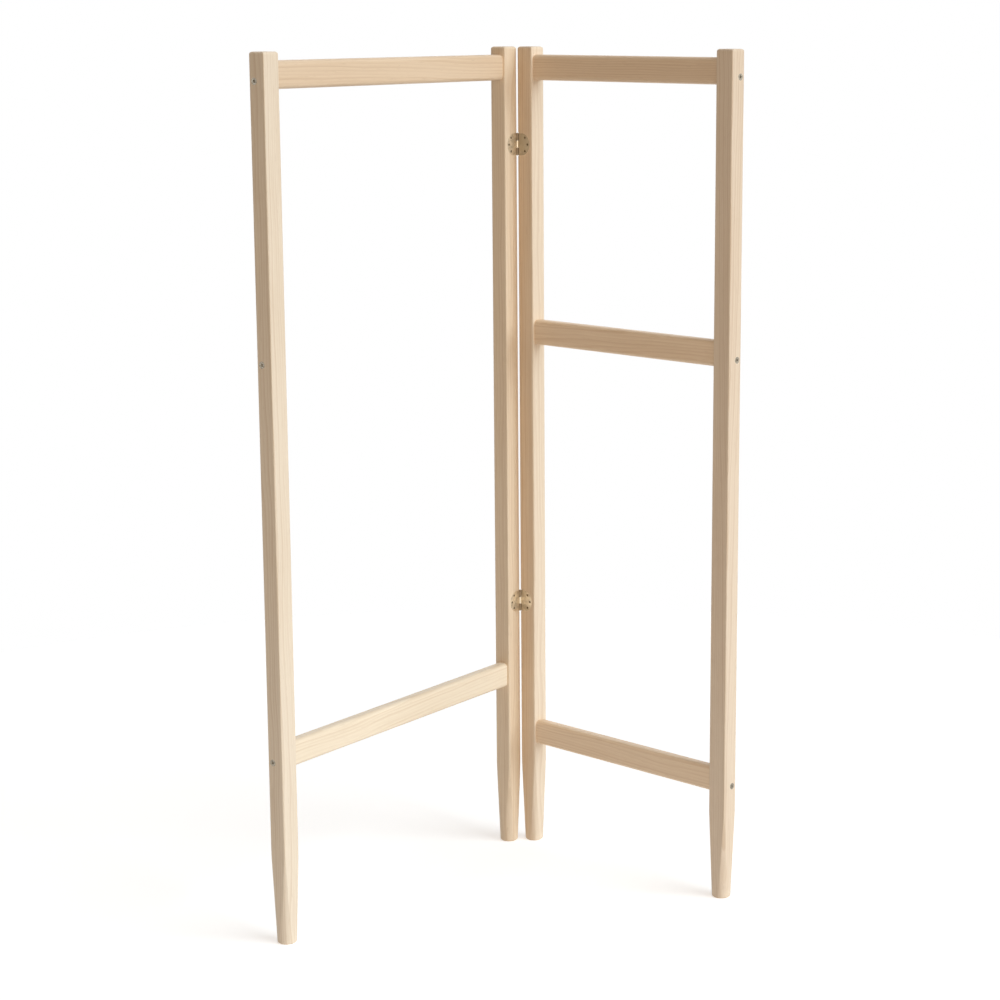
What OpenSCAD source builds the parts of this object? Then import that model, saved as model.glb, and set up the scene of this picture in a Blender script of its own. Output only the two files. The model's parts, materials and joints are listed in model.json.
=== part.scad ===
// Folding clothes rack: a wide and a narrow panel of posts and rails, joined by two brass hinges.
// The hinges are let into the front corners of the posts, with their pins just clear of both posts,
// so that the panels fold face to face or open out flat.
// Each panel is drawn in its own frame: x runs outwards from the hinge side of its hinge post,
// y runs back from the front faces of its posts, and z is the height above the floor.

/* [Rack] */
// Height of the posts
rack_h = 1220; // [900:10:1500]
// Width of the wide panel over its two posts
wide_w = 546; // [350:1:800]
// Width of the narrow panel over its two posts
narrow_w = 404; // [250:1:700]
// Angle between the front faces of the panels as the rack stands
stand_angle = 83; // [50:1:130]

/* [Posts] */
// Post width, measured along the panel
post_w = 29; // [26:0.5:40]
// Post depth, front to back
post_d = 26; // [24:0.5:40]
// Rounding along the edges of the posts
post_edge_r = 2; // [1:0.5:4]
// Rounding round the tops of the posts
post_top_r = 3.5; // [1:0.5:6]
// Diameter of the turned foot at the floor
foot_d = 27; // [20:0.5:30]
// Height at which the turned taper runs out at the post corners
foot_h = 150; // [60:5:170]
// Chamfer round the underside of the foot
foot_chamfer = 1.5; // [0.5:0.5:3]

/* [Rails] */
// Rail height
rail_h = 37; // [34:0.5:50]
// Rail thickness, centred in the depth of the posts
rail_t = 19; // [18:0.5:22]
// Rounding along the long edges of the rails
rail_edge_r = 6; // [2:0.5:8]
// From the post tops down to the middle of both top rails
top_rail_drop = 30; // [27:1:60]
// Height of the middle of the wide panel's bottom rail
wide_bottom_z = 270.5; // [215:0.5:350]
// From the post tops down to the middle of the narrow panel's middle rail
narrow_middle_drop = 420; // [390:1:770]
// Height of the middle of the narrow panel's bottom rail
narrow_bottom_z = 177.5; // [175:0.5:340]

/* [Rail screws and dowels] */
// Length of the wood screws that hold the rail ends
rail_screw_l = 60; // [45:1:80]
// Diameter of the rail screw shanks
rail_screw_d = 4; // [3:0.1:5]
// Diameter of the countersunk rail screw heads
rail_screw_head_d = 9.4; // [7:0.1:10]
// How far the rail screws lie behind the middle of the post depth
screw_back = 4.6; // [3.5:0.1:5]
// How far the rail screws lie below the middle of the rail
screw_drop = 7.8; // [6:0.1:10]
// From the post top down to the spare screw in the wide panel's outer post
spare_screw_drop = 408; // [390:1:770]
// Length of the spare screw, which stops inside the post
spare_screw_l = 22; // [14:1:24]
// Diameter of the dowels that stop the rails turning
dowel_d = 6; // [5:0.5:7]
// Length of the dowels, half in the post and half in the rail
dowel_l = 30; // [20:1:40]
// How far the dowels lie in front of the middle of the post depth
dowel_front = 4.2; // [3.5:0.1:5]
// How far the dowels lie above the middle of the rail
dowel_rise = 8; // [6:0.1:10]

/* [Hinges] */
// From the post tops down to the middle of the upper hinge
upper_hinge_drop = 142; // [90:1:370]
// Height of the middle of the lower hinge
lower_hinge_z = 384; // [250:1:440]
// Height of a hinge, and twice the radius of its round leaf ends
leaf_h = 32; // [26:0.5:36]
// Reach of a leaf from the pin axis to its round end
leaf_w = 24; // [20:0.5:26]
// Thickness of the leaf plate
leaf_t = 1.1; // [0.8:0.1:1.3]
// Outside diameter of the knuckles
knuckle_d = 4.4; // [3.8:0.1:4.6]
// Diameter of the hinge pins
pin_d = 2; // [1.6:0.1:2.4]
// Height of the pin axis in front of the post faces
pin_rise = 0.3; // [0.2:0.1:1]
// Distance from the pin axis to the side face of each hinge post
pin_gap = 0.3; // [0.2:0.1:1]
// Radius of the arc on which the three screws of a leaf lie
leaf_screw_arc_r = 12; // [9:0.5:12.5]
// Angle of the outer leaf screws from the middle one
leaf_screw_angle = 55; // [40:1:60]
// Diameter of the leaf screw shanks
leaf_screw_d = 1.8; // [1.4:0.1:2.2]
// Diameter of the countersunk leaf screw heads
leaf_screw_head_d = 3.4; // [2.8:0.1:3.6]
// Length of the leaf screws
leaf_screw_l = 10; // [8:0.5:12]

/* [Fits] */
// Radial clearance of screws and dowels in their holes
hole_fit = 0.05; // [0.02:0.01:0.1]
// Radial clearance of the hinge pins in the knuckles
pin_fit = 0.05; // [0.02:0.01:0.1]
// Play between the knuckles, and between a knuckle and the other leaf or a post
knuckle_play = 0.3; // [0.2:0.05:0.5]
// Clearance round a leaf in its recess
recess_fit = 0.1; // [0.05:0.05:0.3]

/* [Hidden] */
$fn = 64;

// A cut runs this far past the face that it opens
cut = 1;
top_rail_z = rack_h - top_rail_drop;
narrow_middle_z = rack_h - narrow_middle_drop;
spare_screw_z = rack_h - spare_screw_drop;
upper_hinge_z = rack_h - upper_hinge_drop;
wide_rail_zs = [top_rail_z, wide_bottom_z];
narrow_rail_zs = [top_rail_z, narrow_middle_z, narrow_bottom_z];
post_half_diagonal = norm([post_w, post_d]) / 2;
rail_r = min(rail_edge_r, rail_t / 2 - 1, rail_h / 2 - 1);
screw_y = post_d / 2 + screw_back;
dowel_y = post_d / 2 - dowel_front;
countersink_fit = hole_fit * 2;
pin_head_h = pin_d * 0.4;
pin_head_z = leaf_h / 2 + pin_fit;

// The origin is the middle of the standing rack on the floor. The pin axis stands at pin_axis,
// found from the post corners: each corner is a circle of radius post_edge_r about an inset point.
corner_xs = [post_edge_r, post_w - post_edge_r];
corner_ys = [post_edge_r, post_d - post_edge_r];
function wide_corners() = [
  for (start = [0, wide_w - post_w], x = corner_xs, y = corner_ys)
    [-(pin_gap + start + x), pin_rise + y]
];
function turned(x, y, angle) = [x * cos(angle) - y * sin(angle), x * sin(angle) + y * cos(angle)];
function narrow_corners() = [
  for (start = [0, narrow_w - post_w], x = corner_xs, y = corner_ys)
    turned(pin_gap + start + x, pin_rise + y, 180 + stand_angle)
];
all_corners = concat(wide_corners(), narrow_corners());
corner_across = [for (c = all_corners) c[0]];
corner_along = [for (c = all_corners) c[1]];
pin_axis = [
  -(min(corner_across) + max(corner_across)) / 2,
  -(min(corner_along) + max(corner_along)) / 2
];

// Puts a piece drawn in the wide panel's frame in its place.
module wide_panel() {
  translate([pin_axis[0], pin_axis[1], 0])
    mirror([1, 0, 0])
      translate([pin_gap, pin_rise, 0])
        children();
}

// Puts a piece drawn in the narrow panel's frame in its place.
module narrow_panel() {
  translate([pin_axis[0], pin_axis[1], 0])
    rotate([0, 0, 180 + stand_angle])
      translate([pin_gap, pin_rise, 0])
        children();
}

// Turns a piece drawn against the hinge post end for end, against the outer post of a panel.
module at_outer_end(panel_w) {
  translate([panel_w, 0, 0])
    mirror([1, 0, 0])
      children();
}

// Rectangle with its lower left corner at the origin and four round corners.
module rounded_rectangle(width, height, r) {
  translate([r, 0])
    square([width - 2 * r, height]);
  translate([0, r])
    square([width, height - 2 * r]);
  for (x = [r, width - r], y = [r, height - r])
    translate([x, y])
      circle(r);
}

// Outline of a post seen square on: flat below, with both top corners rounded.
module post_outline(width) {
  r = post_top_r;
  square([width, rack_h - r]);
  translate([r, 0])
    square([width - 2 * r, rack_h]);
  for (x = [r, width - r])
    translate([x, rack_h - r])
      circle(r);
}

// Envelope of the turned foot: a chamfered cone that leaves the post corners at foot_h.
module foot_envelope() {
  foot_r = foot_d / 2;
  slope = (post_half_diagonal - foot_r) / foot_h;
  outer_r = post_half_diagonal + cut;
  rotate_extrude()
    polygon([
      [0, 0],
      [foot_r - foot_chamfer, 0],
      [foot_r + slope * foot_chamfer, foot_chamfer],
      [outer_r, foot_h + cut / slope],
      [outer_r, rack_h + cut],
      [0, rack_h + cut]
    ]);
}

// Post with rounded edges, a rounded top and a turned foot, before any hole.
module post_blank() {
  intersection() {
    linear_extrude(rack_h)
      rounded_rectangle(post_w, post_d, post_edge_r);
    translate([0, post_d, 0])
      rotate([90, 0, 0])
        linear_extrude(post_d)
          post_outline(post_w);
    rotate([90, 0, 90])
      linear_extrude(post_w)
        post_outline(post_d);
    translate([post_w / 2, post_d / 2, 0])
      foot_envelope();
  }
}

// Half section of a countersunk screw that points along z, with its flat head at z = 0.
module screw_section(length, shank_d, head_d, grow, head_grow) {
  shank_r = shank_d / 2 + grow;
  head_r = head_d / 2 + head_grow;
  polygon([
    [0, 0],
    [head_r, 0],
    [shank_r, head_r - shank_r],
    [shank_r, length - shank_d + grow],
    [0, length + grow]
  ]);
}

// Hole for a countersunk screw that enters at z = 0 and points along z.
module screw_hole(length, shank_d, head_d) {
  rotate_extrude()
    screw_section(length, shank_d, head_d, hole_fit, countersink_fit);
  translate([0, 0, -cut])
    cylinder(h = cut, r = head_d / 2 + countersink_fit);
}

// Wood screw that holds a rail end, with a cross recess in its head.
module rail_screw(length) {
  recess_w = rail_screw_head_d * 0.12;
  recess_l = rail_screw_head_d * 0.52;
  recess_depth = rail_screw_head_d * 0.22;
  color("lightslategray")
    difference() {
      rotate_extrude()
        screw_section(length, rail_screw_d, rail_screw_head_d, 0, 0);
      for (turn = [0, 90])
        rotate([0, 0, turn])
          translate([-recess_l / 2, -recess_w / 2, -cut])
            cube([recess_l, recess_w, recess_depth + cut]);
    }
}

// Turns what points along z so that it enters a post from its outer side face, along x.
module into_post_side(y, z) {
  translate([0, y, z])
    rotate([0, 90, 0])
      children();
}

// Dowel along x, half in the post and half in the rail, with its ends chamfered.
module dowel() {
  r = dowel_d / 2;
  bevel = r / 4;
  half_l = dowel_l / 2;
  color("tan")
    rotate_extrude()
      polygon([
        [0, -half_l],
        [r - bevel, -half_l],
        [r, bevel - half_l],
        [r, half_l - bevel],
        [r - bevel, half_l],
        [0, half_l]
      ]);
}

// Hole for a dowel, a little deeper than half the dowel to either side of the joint.
module dowel_hole() {
  depth = dowel_l / 2 + hole_fit;
  translate([0, 0, -depth])
    cylinder(h = 2 * depth, r = dowel_d / 2 + hole_fit);
}

// The screw hole and the dowel hole of one rail end, seen from the post's outer side face.
module rail_end_holes(z) {
  into_post_side(screw_y, z - screw_drop)
    screw_hole(rail_screw_l, rail_screw_d, rail_screw_head_d);
  translate([post_w, 0, 0])
    into_post_side(dowel_y, z + dowel_rise)
      dowel_hole();
}

// Holes in a hinge post's front face for the screws of one hinge leaf.
module leaf_screw_holes(hinge_z) {
  on_leaf_screws(hinge_z)
    screw_hole(leaf_screw_l, leaf_screw_d, leaf_screw_head_d);
}

// Recess for one hinge in the front corner of a hinge post: a round-ended bed as deep as the leaf,
// and a round groove about the pin axis that clears the knuckles and the pin heads.
module hinge_recess(hinge_z) {
  groove_h = 2 * (pin_head_z + pin_head_h + knuckle_play);
  translate([-pin_gap, 0, hinge_z]) {
    translate([0, leaf_t, 0])
      rotate([90, 0, 0])
        linear_extrude(leaf_t + cut)
          leaf_outline(recess_fit);
    translate([0, -pin_rise, -groove_h / 2])
      cylinder(h = groove_h, r = knuckle_d / 2 + knuckle_play);
  }
}

// Post in its place against the hinge side, with the rail holes at the given heights.
module post(rail_zs) {
  color("burlywood")
    difference() {
      post_blank();
      for (z = rail_zs)
        rail_end_holes(z);
      children();
    }
}

module hinge_post(rail_zs) {
  post(rail_zs) {
    for (hinge_z = [upper_hinge_z, lower_hinge_z]) {
      hinge_recess(hinge_z);
      leaf_screw_holes(hinge_z);
    }
  }
}

module outer_post(panel_w, rail_zs) {
  at_outer_end(panel_w)
    post(rail_zs)
      children();
}

// Rail between the posts of a panel, with its long edges rounded and its end holes.
module rail(panel_w, z) {
  color("wheat")
    difference() {
      translate([post_w, (post_d - rail_t) / 2, z - rail_h / 2])
        rotate([90, 0, 90])
          linear_extrude(panel_w - 2 * post_w)
            rounded_rectangle(rail_t, rail_h, rail_r);
      rail_end_holes(z);
      at_outer_end(panel_w)
        rail_end_holes(z);
    }
}

// The screws at both ends of a rail.
module rail_screws(panel_w, z) {
  into_post_side(screw_y, z - screw_drop)
    rail_screw(rail_screw_l);
  at_outer_end(panel_w)
    into_post_side(screw_y, z - screw_drop)
      rail_screw(rail_screw_l);
}

// The dowels at both ends of a rail.
module rail_dowels(panel_w, z) {
  for (x = [post_w, panel_w - post_w])
    translate([x, 0, 0])
      into_post_side(dowel_y, z + dowel_rise)
        dowel();
}

// Puts what points along z on each screw of a leaf, from the leaf's front face into the post.
// Each screw is turned by a third of a turn more than the last, as screws stop where they bite.
module on_leaf_screws(hinge_z) {
  for (i = [-1, 0, 1]) {
    angle = i * leaf_screw_angle;
    x = leaf_w - leaf_h / 2 + leaf_screw_arc_r * cos(angle) - pin_gap;
    z = hinge_z + leaf_screw_arc_r * sin(angle);
    translate([x, 0, z])
      rotate([-90, 0, 0])
        rotate([0, 0, 40 + 120 * i])
          children();
  }
}

// Small countersunk screw of a hinge leaf, with a slot in its head.
module leaf_screw() {
  slot_w = leaf_screw_head_d * 0.16;
  slot_depth = leaf_screw_head_d * 0.14;
  color("darkgoldenrod")
    difference() {
      rotate_extrude()
        screw_section(leaf_screw_l, leaf_screw_d, leaf_screw_head_d, 0, 0);
      translate([-leaf_screw_head_d, -slot_w / 2, -cut])
        cube([2 * leaf_screw_head_d, slot_w, slot_depth + cut]);
    }
}

// Hinge leaf about the pin axis: a round-ended plate let in flush with the post face, and its knuckles.
// own_knuckles and other_knuckles list which of the three knuckles belong to each leaf.
module leaf(hinge_z, own_knuckles, other_knuckles) {
  knuckle_h = leaf_h / 3;
  knuckle_r = knuckle_d / 2;
  color("goldenrod")
    difference() {
      translate([-pin_gap, -pin_rise, hinge_z])
        difference() {
          union() {
            translate([0, pin_rise + leaf_t, 0])
              rotate([90, 0, 0])
                linear_extrude(leaf_t)
                  leaf_outline(0);
            for (i = own_knuckles)
              translate([0, 0, (i - 1.5) * knuckle_h + knuckle_play / 2])
                cylinder(h = knuckle_h - knuckle_play, r = knuckle_r);
          }
          for (i = other_knuckles)
            translate([0, 0, (i - 1.5) * knuckle_h])
              cylinder(h = knuckle_h, r = knuckle_r + knuckle_play);
          translate([0, 0, -leaf_h])
            cylinder(h = 2 * leaf_h, r = pin_d / 2 + pin_fit);
        }
      leaf_screw_holes(hinge_z);
    }
}

// Plate outline in x and z, grown all round by grow: straight from the pin axis, then a half circle.
module leaf_outline(grow) {
  end_x = leaf_w - leaf_h / 2;
  end_r = leaf_h / 2 + grow;
  translate([0, -end_r])
    square([end_x, 2 * end_r]);
  intersection() {
    translate([end_x, 0])
      circle(end_r);
    translate([0, -end_r])
      square([leaf_w + grow, 2 * end_r]);
  }
}

// The wide panel's leaves hold the outer two knuckles, and the narrow panel's leaves the middle one.
module wide_leaf(hinge_z) {
  leaf(hinge_z, [0, 2], [1]);
}

module narrow_leaf(hinge_z) {
  leaf(hinge_z, [1], [0, 2]);
}

// Hinge pin with a low round head at both ends, which stand just above and below the leaves.
module hinge_pin(hinge_z) {
  pin_r = pin_d / 2;
  head_r = pin_r * 1.5;
  rim_z = pin_head_z + pin_head_h * 0.4;
  top_z = pin_head_z + pin_head_h;
  color("gold")
    translate([-pin_gap, -pin_rise, hinge_z])
      rotate_extrude()
        polygon([
          [0, -top_z],
          [head_r * 0.6, -top_z],
          [head_r, -rim_z],
          [head_r, -pin_head_z],
          [pin_r, -pin_head_z],
          [pin_r, pin_head_z],
          [head_r, pin_head_z],
          [head_r, rim_z],
          [head_r * 0.6, top_z],
          [0, top_z]
        ]);
}

module wide_outer_post() {
  wide_panel()
    outer_post(wide_w, wide_rail_zs)
      into_post_side(screw_y, spare_screw_z)
        screw_hole(spare_screw_l, rail_screw_d, rail_screw_head_d);
}

module wide_spare_screw() {
  wide_panel()
    at_outer_end(wide_w)
      into_post_side(screw_y, spare_screw_z)
        rail_screw(spare_screw_l);
}

wide_outer_post();
wide_panel() hinge_post(wide_rail_zs);  // wide_hinge_post
wide_panel() rail(wide_w, top_rail_z);  // wide_top_rail
wide_panel() rail(wide_w, wide_bottom_z);  // wide_bottom_rail
wide_panel() rail_screws(wide_w, top_rail_z);  // wide_top_rail_screws
wide_panel() rail_screws(wide_w, wide_bottom_z);  // wide_bottom_rail_screws
wide_spare_screw();
wide_panel() rail_dowels(wide_w, top_rail_z);  // wide_top_rail_dowels
wide_panel() rail_dowels(wide_w, wide_bottom_z);  // wide_bottom_rail_dowels
narrow_panel() outer_post(narrow_w, narrow_rail_zs);  // narrow_outer_post
narrow_panel() hinge_post(narrow_rail_zs);  // narrow_hinge_post
narrow_panel() rail(narrow_w, top_rail_z);  // narrow_top_rail
narrow_panel() rail(narrow_w, narrow_middle_z);  // narrow_middle_rail
narrow_panel() rail(narrow_w, narrow_bottom_z);  // narrow_bottom_rail
narrow_panel() rail_screws(narrow_w, top_rail_z);  // narrow_top_rail_screws
narrow_panel() rail_screws(narrow_w, narrow_middle_z);  // narrow_middle_rail_screws
narrow_panel() rail_screws(narrow_w, narrow_bottom_z);  // narrow_bottom_rail_screws
narrow_panel() rail_dowels(narrow_w, top_rail_z);  // narrow_top_rail_dowels
narrow_panel() rail_dowels(narrow_w, narrow_middle_z);  // narrow_middle_rail_dowels
narrow_panel() rail_dowels(narrow_w, narrow_bottom_z);  // narrow_bottom_rail_dowels
wide_panel() wide_leaf(upper_hinge_z);  // upper_hinge_wide_leaf
narrow_panel() narrow_leaf(upper_hinge_z);  // upper_hinge_narrow_leaf
wide_panel() hinge_pin(upper_hinge_z);  // upper_hinge_pin
wide_panel() on_leaf_screws(upper_hinge_z) leaf_screw();  // upper_hinge_wide_screws
narrow_panel() on_leaf_screws(upper_hinge_z) leaf_screw();  // upper_hinge_narrow_screws
wide_panel() wide_leaf(lower_hinge_z);  // lower_hinge_wide_leaf
narrow_panel() narrow_leaf(lower_hinge_z);  // lower_hinge_narrow_leaf
wide_panel() hinge_pin(lower_hinge_z);  // lower_hinge_pin
wide_panel() on_leaf_screws(lower_hinge_z) leaf_screw();  // lower_hinge_wide_screws
narrow_panel() on_leaf_screws(lower_hinge_z) leaf_screw();  // lower_hinge_narrow_screws
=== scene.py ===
"""Dresses the folding clothes rack: ash posts and rails, brass hinges and steel screws on its frame."""

import json
import math

import bmesh
import bpy
import numpy as np
from mathutils import Matrix, Vector

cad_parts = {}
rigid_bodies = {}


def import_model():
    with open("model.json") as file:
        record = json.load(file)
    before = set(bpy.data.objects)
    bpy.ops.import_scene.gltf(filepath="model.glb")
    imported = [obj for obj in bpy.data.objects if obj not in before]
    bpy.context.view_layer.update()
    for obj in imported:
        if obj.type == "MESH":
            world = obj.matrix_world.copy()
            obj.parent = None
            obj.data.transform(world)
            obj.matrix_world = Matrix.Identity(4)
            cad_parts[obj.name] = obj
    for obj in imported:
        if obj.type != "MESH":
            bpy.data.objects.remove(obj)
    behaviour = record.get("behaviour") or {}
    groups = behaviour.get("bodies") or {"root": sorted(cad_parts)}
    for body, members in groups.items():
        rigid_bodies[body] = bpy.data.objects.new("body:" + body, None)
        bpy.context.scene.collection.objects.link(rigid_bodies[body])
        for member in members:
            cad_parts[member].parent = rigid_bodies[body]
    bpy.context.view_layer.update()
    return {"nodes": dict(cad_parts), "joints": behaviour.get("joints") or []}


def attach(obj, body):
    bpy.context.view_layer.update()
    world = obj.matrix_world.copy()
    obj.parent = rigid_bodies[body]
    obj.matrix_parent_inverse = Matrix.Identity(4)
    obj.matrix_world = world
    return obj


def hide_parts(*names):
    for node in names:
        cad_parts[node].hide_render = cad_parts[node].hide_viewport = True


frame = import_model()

bl_info = {
    "name": "Folding Clothes Rack",
    "version": (1, 0, 0),
    "blender": (4, 5, 0),
    "location": "View3D > Sidebar > Clothes Rack",
    "description": "Makes the wood, hinges and screws of a two-panel clothes rack on its packed frame",
    "category": "Add Mesh",
}

MM = 0.001
WHITE = (1.0, 1.0, 1.0, 1.0)
FOLD = frame["joints"][0]
PIN_FOOT = np.array([*FOLD["pos_m"][:2], 0.0])
HINGES = ["upper_hinge", "lower_hinge"]
# The knuckles of a hinge, counted from below, and which of them each leaf has.
KNUCKLES, OWN_KNUCKLES = 3, {"wide": (0, 2), "narrow": (1,)}
# The pieces of one node lie further apart than this: along a rail, and up a hinge leaf.
RAIL_END_GAP, LEAF_SCREW_GAP = 100 * MM, 2 * MM

# How each board lay in its log: where the heart of the log ran beside the middle of the board,
# across its width and through its depth, how far it drifts away over one metre of the board both
# ways, and where along the log the board starts, all in metres. Then its tint, which is partly
# painted light: the top rails are darker and the lower rails lighter, painting the light that grows
# towards the floor, and the warmer tints of the narrow rails and the darker, warmer tint of the wide
# hinge post paint the warm shade on their shaded faces. Then how strongly its growth rings show,
# and how far from the heart its browner heartwood reaches, 0 for none; on the narrow hinge post
# that browning is painted shade on its shaded front face.
BOARDS = {
    "wide_outer_post": ((0.052, 0.034, 0.022, -0.016, 0.0), (0.975, 0.985, 1.0), 0.45, 0.0),
    "wide_hinge_post": ((-0.044, 0.061, 0.012, 0.014, 2.3), (0.96, 0.92, 0.87), 0.40, 0.0),
    "narrow_outer_post": ((0.061, -0.042, -0.014, 0.011, 4.9), (0.955, 0.93, 0.925), 0.45, 0.0),
    # The narrow hinge post's heartwood browns its shaded front face: painted shade.
    "narrow_hinge_post": ((-0.066, -0.034, 0.003, -0.012, 7.2), (1.03, 1.02, 1.02), 0.40, 0.081),
    "wide_top_rail": ((0.026, 0.016, 0.014, 0.010, 9.6), (0.90, 0.825, 0.75), 0.42, 0.0),
    "wide_bottom_rail": ((-0.030, 0.020, -0.010, 0.008, 11.5), (1.04, 1.05, 1.04), 0.40, 0.0),
    "narrow_top_rail": ((0.030, -0.014, 0.008, 0.012, 13.1), (0.985, 0.90, 0.82), 0.45, 0.0),
    "narrow_middle_rail": ((-0.024, 0.018, 0.016, -0.010, 15.4), (1.08, 1.0, 0.92), 0.45, 0.0),
    "narrow_bottom_rail": ((0.028, 0.022, -0.012, 0.010, 17.8), (1.065, 0.99, 0.915), 0.45, 0.0),
}

# How much duller each hinge leaf's colour is set than the brass on average, and how its knuckles
# are worn and painted: from 1, rubbed smooth and brighter in colour, which paints a highlight, to
# -1, darker in colour, which paints the shade in the groove between the posts.
LEAF_DULLING_AND_KNUCKLE_SHADING = {
    "upper_hinge_wide_leaf": (-0.02, -0.7),
    "upper_hinge_narrow_leaf": (0.28, 1.0),
    "lower_hinge_wide_leaf": (-0.04, -0.5),
    "lower_hinge_narrow_leaf": (0.0, 1.0),
}


def corners(mesh):
    """The corners of a mesh, one in each row."""
    points = np.zeros(len(mesh.vertices) * 3)
    mesh.vertices.foreach_get("co", points)
    return points.reshape(-1, 3)


def box_of(points):
    """Lowest and highest corner of some points."""
    return points.min(0), points.max(0)


class RackPanel:
    """A body of the rack, with axes of its own: x outwards from the hinge pins, y back from them
    and z up from the floor."""

    def __init__(self, body, side, across, back):
        self.body, self.side = body, side
        self.axes = np.array([across, back, (0.0, 0.0, 1.0)])
        self.flips = np.linalg.det(self.axes) < 0

    def to_rack(self, points):
        """Each panel axis times its share of the point, added to the foot of the pin axis."""
        return points @ self.axes + PIN_FOOT

    def points(self, node):
        """A CAD node's corners, each as the share of every panel axis in the way to it."""
        return (corners(frame["nodes"][node].data) - PIN_FOOT) @ self.axes.T

    def box(self, node):
        """A CAD node's lowest and highest corner in panel axes."""
        return box_of(self.points(node))

    def boxes(self, node, axis, gap):
        """The same for each piece of a node. Its points, sorted along one axis, are parted
        wherever the next lies further on than the gap."""
        points = self.points(node)
        points = points[np.argsort(points[:, axis])]
        breaks = np.nonzero(np.diff(points[:, axis]) > gap)[0] + 1
        return [box_of(some) for some in np.split(points, breaks)]

    def fastener_nodes(self):
        """The CAD nodes that hold this panel's screws and dowels."""
        return [node for node in frame["nodes"]
                if self.side in node.split("_") and node.endswith(("screws", "screw", "dowels"))]


def narrow_axes():
    """The wide panel runs along -X, and the narrow one stands at the folding angle from it."""
    turn = math.radians(180 - FOLD["range_deg"][0])
    return (math.cos(turn), math.sin(turn), 0.0), (-math.sin(turn), math.cos(turn), 0.0)


PANELS = [
    RackPanel(FOLD["parent"], "wide", (-1.0, 0.0, 0.0), (0.0, 1.0, 0.0)),
    RackPanel(FOLD["child"], "narrow", *narrow_axes()),
]


def boards(kind):
    """Each post or each rail: its panel, its CAD node and the corners of its box."""
    for panel in PANELS:
        for node in BOARDS:
            if node.startswith(panel.side) and node.endswith(kind):
                yield (panel, node, *panel.box(node))


# Settings

def metres(name, description, default, low, high, precision=2):
    """A length, given here in metres."""
    return bpy.props.FloatProperty(name=name, description=description, default=default, min=low,
                                   max=high, unit="LENGTH", precision=precision)


def millimetres(name, description, default, low, high, precision=2):
    """A length, given here in millimetres."""
    return metres(name, description, default * MM, low * MM, high * MM, precision)


def degrees(name, description, default):
    """An angle, given here in degrees."""
    return bpy.props.FloatProperty(name=name, description=description, subtype="ANGLE",
                                   default=math.radians(default), unit="ROTATION")


def rgb(name, description, *default):
    """A colour, given here by its shares of red, green and blue."""
    return bpy.props.FloatVectorProperty(name=name, description=description, default=default,
                                         size=3, min=0, max=1, subtype="COLOR")


def amount(name, description, default, high, low=0):
    """A plain number from low to high."""
    return bpy.props.FloatProperty(name=name, description=description, default=default,
                                   min=low, max=high)


class RackTimber(bpy.types.PropertyGroup):
    """Sizes and colours of the posts and rails"""

    edge_radius: millimetres("Post Edge", "Rounding along the edges of the posts", 2, 0.5, 4)
    top_radius: millimetres("Post Top", "Rounding round the tops of the posts", 3.5, 0.5, 6)
    foot_radius: millimetres("Foot", "Radius of the turned foot at the floor", 13.5, 10, 15)
    foot_height: millimetres("Foot Height", "Height at which the foot's taper leaves the post corners",
        150, 60, 200)
    foot_chamfer: millimetres("Foot Chamfer", "Chamfer round the underside of the foot", 1.5, 0.5, 3)
    rail_radius: millimetres("Rail Edge", "Rounding along the long edges of the rails", 6, 2, 9)
    dowel_depth: millimetres("Dowel Hole", "Depth of a dowel hole in a post and in a rail",
        15.05, 10, 25)
    pale: rgb("Early Wood", "Colour of the pale part of a growth ring", 0.87, 0.74, 0.58)
    band: rgb("Late Wood", "Colour of the dark part of a growth ring", 0.66, 0.49, 0.325)
    pore: rgb("Pores", "Colour of the open pores in the early wood", 0.52, 0.38, 0.25)
    dowel: rgb("Dowels", "Colour of the beech dowels", 0.62, 0.44, 0.28)
    ring_spacing: millimetres("Growth Ring", "Thickness of one year's growth", 3.4, 1, 8)


class RackMetal(bpy.types.PropertyGroup):
    """Sizes and colours of the hinges and screws"""

    hole_fit: millimetres("Hole Clearance", "Radial clearance of a screw or dowel in its hole",
        0.05, 0.02, 0.2, precision=5)
    rail_shank: millimetres("Rail Screw", "Radius over the thread of a rail screw", 2, 1.5, 2.5)
    rail_pitch: millimetres("Rail Screw Pitch", "Rise of a rail screw's thread in one turn", 2, 1, 3)
    leaf_shank: millimetres("Leaf Screw", "Radius over the thread of a leaf screw",
        0.9, 0.6, 1.2, precision=4)
    leaf_pitch: millimetres("Leaf Screw Pitch", "Rise of a leaf screw's thread in one turn", 1, 0.5, 2)
    knuckle_radius: millimetres("Knuckle", "Outside radius of the hinge knuckles",
        2.2, 1.9, 2.3, precision=4)
    pin_radius: millimetres("Pin", "Radius of the hinge pins", 1, 0.8, 1.2)
    knuckle_play: millimetres("Knuckle Play", "Play of the knuckles along the pin and in their grooves",
        0.3, 0.1, 0.6, precision=4)
    recess_fit: millimetres("Recess Clearance", "Clearance round a leaf in its recess",
        0.1, 0.05, 0.3, precision=4)
    plate_edge: millimetres("Leaf Edge", "Rounding of the edges of a hinge leaf",
        0.18, 0.05, 0.4, precision=5)
    brass: rgb("Brass", "Colour of the hinge leaves where they are bright", 0.84, 0.72, 0.55)
    brass_dull: rgb("Tarnish", "Colour of the hinge leaves where they have tarnished", 0.46, 0.37, 0.25)
    # The leaf screws' colour is set far darker than brass, partly painted shade that stands in for the
    # shade in their slots and countersinks.
    screw_brass: rgb("Leaf Screw Brass", "Colour of the small brass screws", 0.20, 0.14, 0.07)
    steel: rgb("Steel", "Colour of the rail screws", 0.46, 0.41, 0.33)
    steel_dull: rgb("Dull Steel", "Colour of the rail screws where their plating is dull",
        0.26, 0.23, 0.18)


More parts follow.
